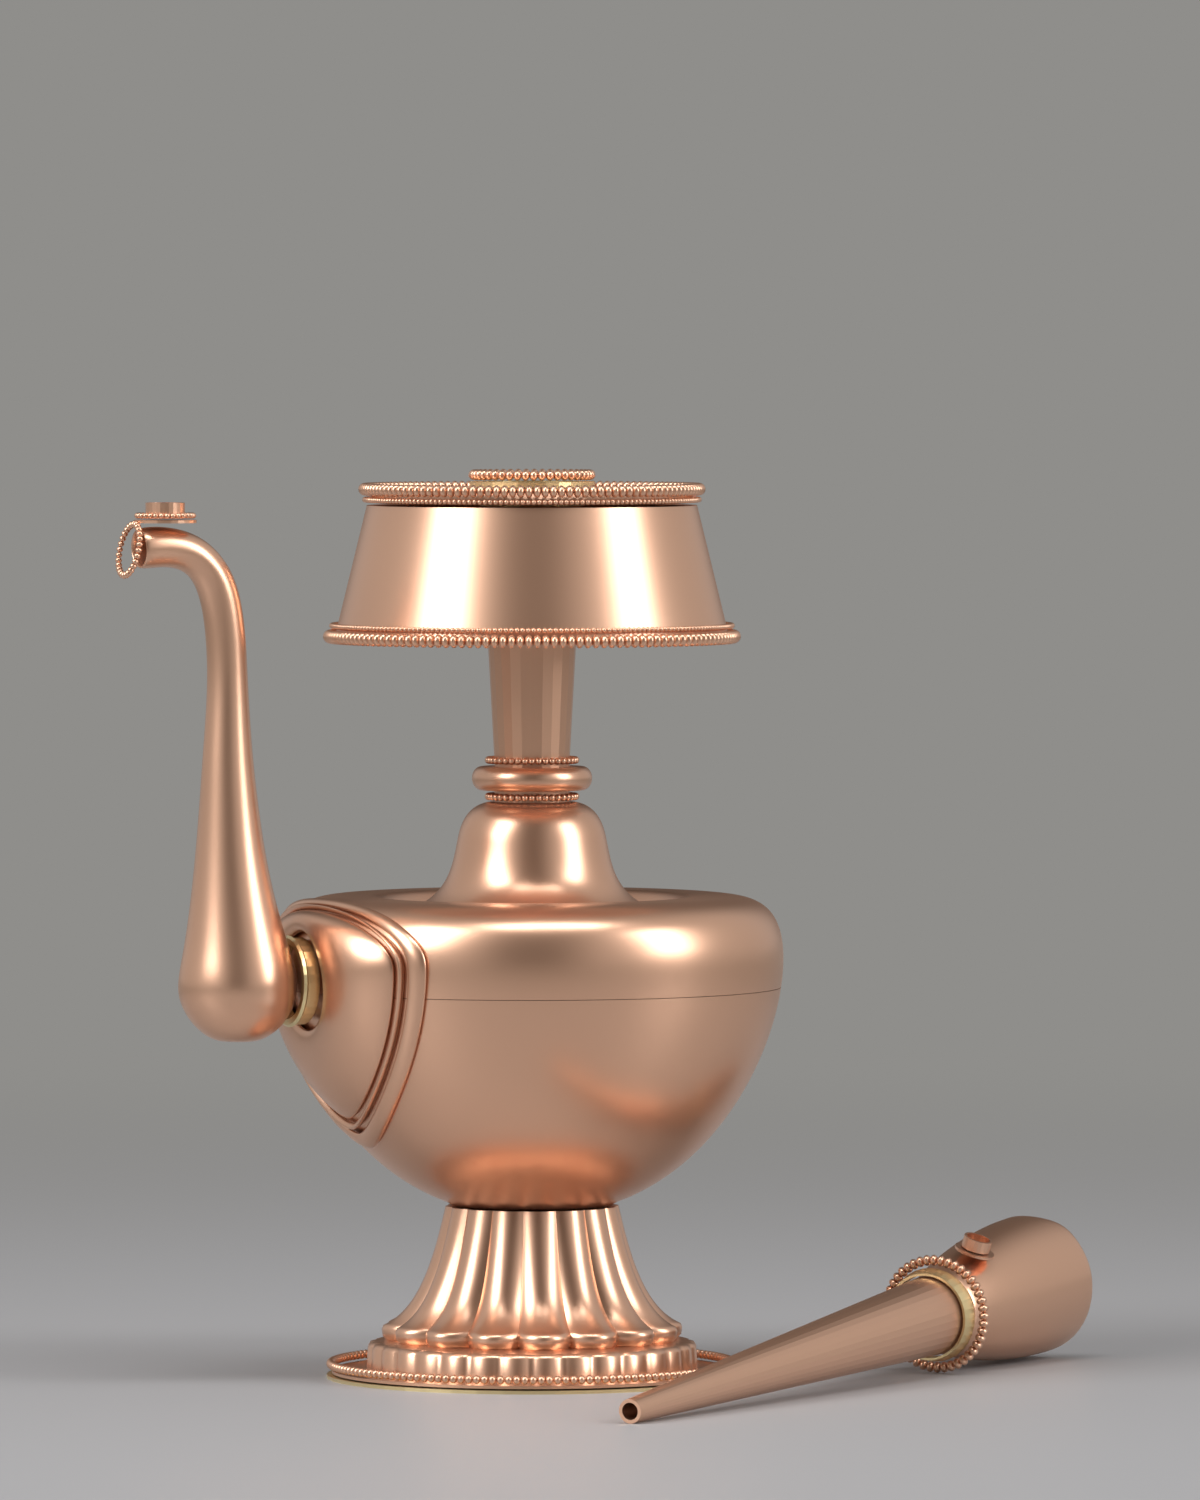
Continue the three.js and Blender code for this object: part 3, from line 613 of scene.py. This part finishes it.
class BUMPA_OT_rounded(bpy.types.Operator):
    """Spout, shield, neck ring and holder shell, rounded off from the frame"""
    bl_idname = "bumpa.rounded"
    bl_label = "Rounded pieces"

    def execute(self, context):
        for name, body, levels in ROUNDED:
            work = bmesh.new()
            work.from_mesh(frame["nodes"][name].data)
            bmesh.ops.remove_doubles(work, verts=work.verts, dist=WELD)
            bmesh.ops.join_triangles(
                work, faces=work.faces, angle_face_threshold=0.7, angle_shape_threshold=0.9)
            mesh = bpy.data.meshes.new(name + "_round")
            work.to_mesh(mesh)
            work.free()
            shade_all_smooth(mesh)
            mesh.materials.clear()
            mesh.materials.append(metal("copper"))
            obj = new_object(name + "_round", mesh)
            rounding = obj.modifiers.new("Rounding", "SUBSURF")
            rounding.levels = levels
            rounding.render_levels = levels
            stand_for(obj, body, name)
        return {"FINISHED"}


class BUMPA_OT_carried(bpy.types.Operator):
    """Metal on the pieces that keep their frame shape"""
    bl_idname = "bumpa.carried"
    bl_label = "Carried pieces"

    def execute(self, context):
        slots = {row["node"]: row["material_slot"] for row in frame["record"]["subparts"]}
        for name, obj in frame["nodes"].items():
            obj.data.materials.clear()
            obj.data.materials.append(metal(slots[name]))
            smooth(obj.data, CARRIED_SHARP)
        return {"FINISHED"}


def area_light(name, place, aim_z, size, power):
    lamp = bpy.data.lights.new(name, "AREA")
    lamp.shape = "RECTANGLE"
    lamp.size, lamp.size_y = size
    lamp.energy = power
    obj = new_object(name, lamp)
    obj.location = place
    aim = Vector((0, 0, aim_z)) - Vector(place)
    obj.rotation_euler = aim.to_track_quat("-Z", "Y").to_euler()
    return obj


def table_material(look):
    """Pale grey near the ewer, and the backdrop's own grey far away."""
    material = bpy.data.materials.new("table")
    material.use_nodes = True
    tree = material.node_tree
    shader = tree.nodes["Principled BSDF"]
    shader.inputs["Base Color"].default_value = (*look.table, 1)
    shader.inputs["Roughness"].default_value = 0.45
    place = node(tree, "ShaderNodeTexCoord")
    length = node(tree, "ShaderNodeVectorMath", operation="LENGTH")
    tree.links.new(place.outputs["Object"], length.inputs[0])
    reach = {"From Min": 0.15, "From Max": 1.1}
    fade = node(tree, "ShaderNodeMapRange", reach, interpolation_type="SMOOTHSTEP")
    tree.links.new(length.outputs["Value"], fade.inputs["Value"])
    far = node(tree, "ShaderNodeEmission", {"Color": (*look.backdrop, 1)})
    mixed = shader_mix(tree, fade.outputs["Result"], shader.outputs[0], far.outputs[0])
    tree.links.new(mixed, tree.nodes["Material Output"].inputs["Surface"])
    return material


def backdrop(look):
    """One grey for the camera, and for the metal a dark room that is light at the sides."""
    world = bpy.data.worlds.new("backdrop")
    world.use_nodes = True
    tree = world.node_tree
    seen = tree.nodes["Background"]
    seen.inputs["Color"].default_value = (*look.backdrop, 1)
    way = node(tree, "ShaderNodeTexCoord")
    parts = node(tree, "ShaderNodeSeparateXYZ")
    tree.links.new(way.outputs["Generated"], parts.inputs[0])
    side = node(tree, "ShaderNodeMath", operation="ABSOLUTE")
    tree.links.new(parts.outputs["X"], side.inputs[0])
    reach = {"From Min": 0.12, "From Max": 0.62}
    spread = node(tree, "ShaderNodeMapRange", reach, interpolation_type="SMOOTHSTEP")
    tree.links.new(side.outputs[0], spread.inputs["Value"])
    shade = colour_mix(tree, spread.outputs["Result"], ROOM_DARK, ROOM_LIGHT)
    room = node(tree, "ShaderNodeBackground")
    tree.links.new(shade, room.inputs["Color"])
    rays = node(tree, "ShaderNodeLightPath")
    mixed = shader_mix(tree, rays.outputs["Is Camera Ray"], room.outputs[0], seen.outputs[0])
    tree.links.new(mixed, tree.nodes["World Output"].inputs["Surface"])
    bpy.context.scene.world = world


def add_camera(scene):
    lens = bpy.data.cameras.new("camera")
    lens.lens = CAMERA_LENS
    lens.clip_end = CAMERA_CLIP
    camera = new_object("camera", lens)
    camera.location = CAMERA_PLACE
    camera.rotation_euler = (pi / 2 - CAMERA_DIP, 0, 0)
    scene.camera = camera


class BUMPA_OT_stage(bpy.types.Operator):
    """Table, backdrop, soft lamps and camera"""
    bl_idname = "bumpa.stage"
    bl_label = "Stage"

    def execute(self, context):
        look = settings()
        half = TABLE_HALF
        corners = [(-half, -half, 0), (half, -half, 0), (half, half, 0), (-half, half, 0)]
        floor = mesh_object("table", corners, [(0, 1, 2, 3)])
        floor.data.materials.append(table_material(look))
        lamps = [area_light(*lamp) for lamp in LAMPS]
        backdrop(look)
        add_camera(context.scene)
        context.scene.view_settings.view_transform = "Standard"
        return {"FINISHED"}


class BUMPA_PT_panel(bpy.types.Panel):
    """Steps that build the ewer"""
    bl_idname = "BUMPA_PT_panel"
    bl_label = "Bumpa vase"
    bl_space_type = "VIEW_3D"
    bl_region_type = "UI"
    bl_category = "Bumpa"

    def draw(self, context):
        for step in OPERATORS:
            self.layout.operator(step.bl_idname)


OPERATORS = (
    BUMPA_OT_foot, BUMPA_OT_body, BUMPA_OT_beads, BUMPA_OT_slanted_beads, BUMPA_OT_rounded,
    BUMPA_OT_carried, BUMPA_OT_stage,
)


def register():
    for kind in (BumpaSizes, *OPERATORS, BUMPA_PT_panel):
        bpy.utils.register_class(kind)
    bpy.types.Scene.bumpa_sizes = bpy.props.PointerProperty(type=BumpaSizes)


def unregister():
    del bpy.types.Scene.bumpa_sizes
    for kind in (BUMPA_PT_panel, *reversed(OPERATORS), BumpaSizes):
        bpy.utils.unregister_class(kind)


def main():
    register()
    bpy.ops.bumpa.foot()
    bpy.ops.bumpa.body()
    bpy.ops.bumpa.beads()
    bpy.ops.bumpa.slanted_beads()
    bpy.ops.bumpa.rounded()
    bpy.ops.bumpa.carried()
    bpy.ops.bumpa.stage()
    bpy.context.view_layer.update()


if __name__ == "__main__":
    main()
